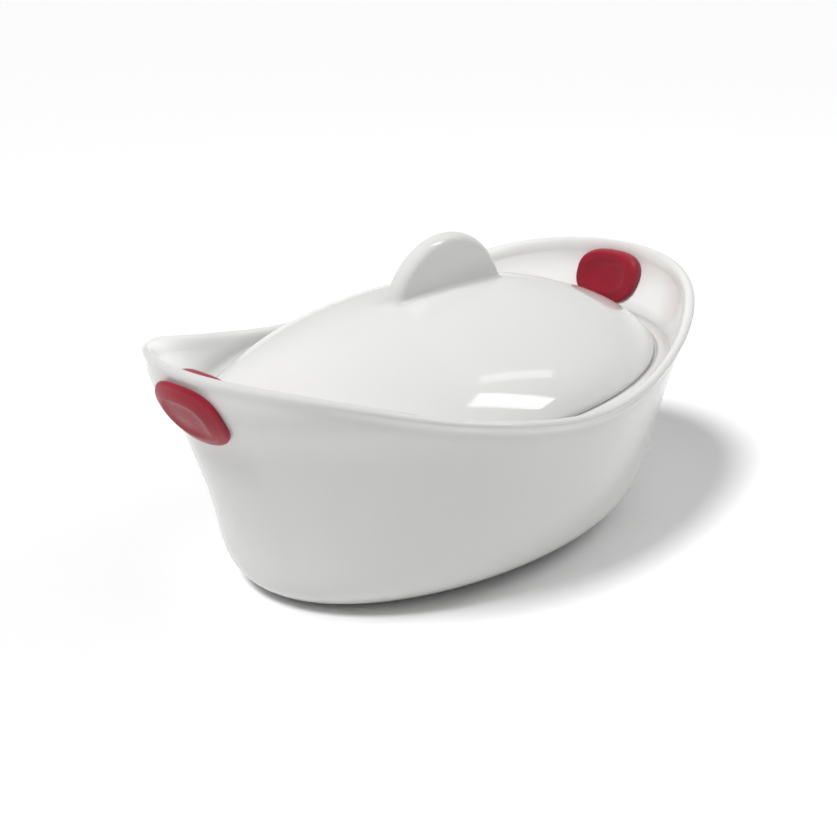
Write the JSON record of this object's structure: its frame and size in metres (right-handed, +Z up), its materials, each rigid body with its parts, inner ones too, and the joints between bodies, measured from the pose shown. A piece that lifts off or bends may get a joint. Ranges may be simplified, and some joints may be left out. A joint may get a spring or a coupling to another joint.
{
  "type": "covered casserole dish",
  "caption": "Oval glazed casserole dish with a saddle-shaped rim, end grips set through the walls, and a domed lid that lifts off by a half-disc fin knob.",
  "frame": {"origin": "on the resting plane, under the middle of the dish", "axes": "+Z up, +X along the long axis towards the right grip, +Y across the dish"},
  "size_m": [0.3394, 0.213, 0.1551],
  "materials": {
    "glaze": "gloss white glaze",
    "silicone": "satin dark red silicone"
  },
  "bodies": {
    "dish": {"dish_body": "glaze", "grip_left": "silicone", "grip_right": "silicone"},
    "lid": {"lid": "glaze"}
  },
  "joints": [
    {"name": "lid_lift", "type": "slide", "parent": "dish", "child": "lid", "axis": [0, 0, 1], "range_m": [0, 0.1]}
  ]
}
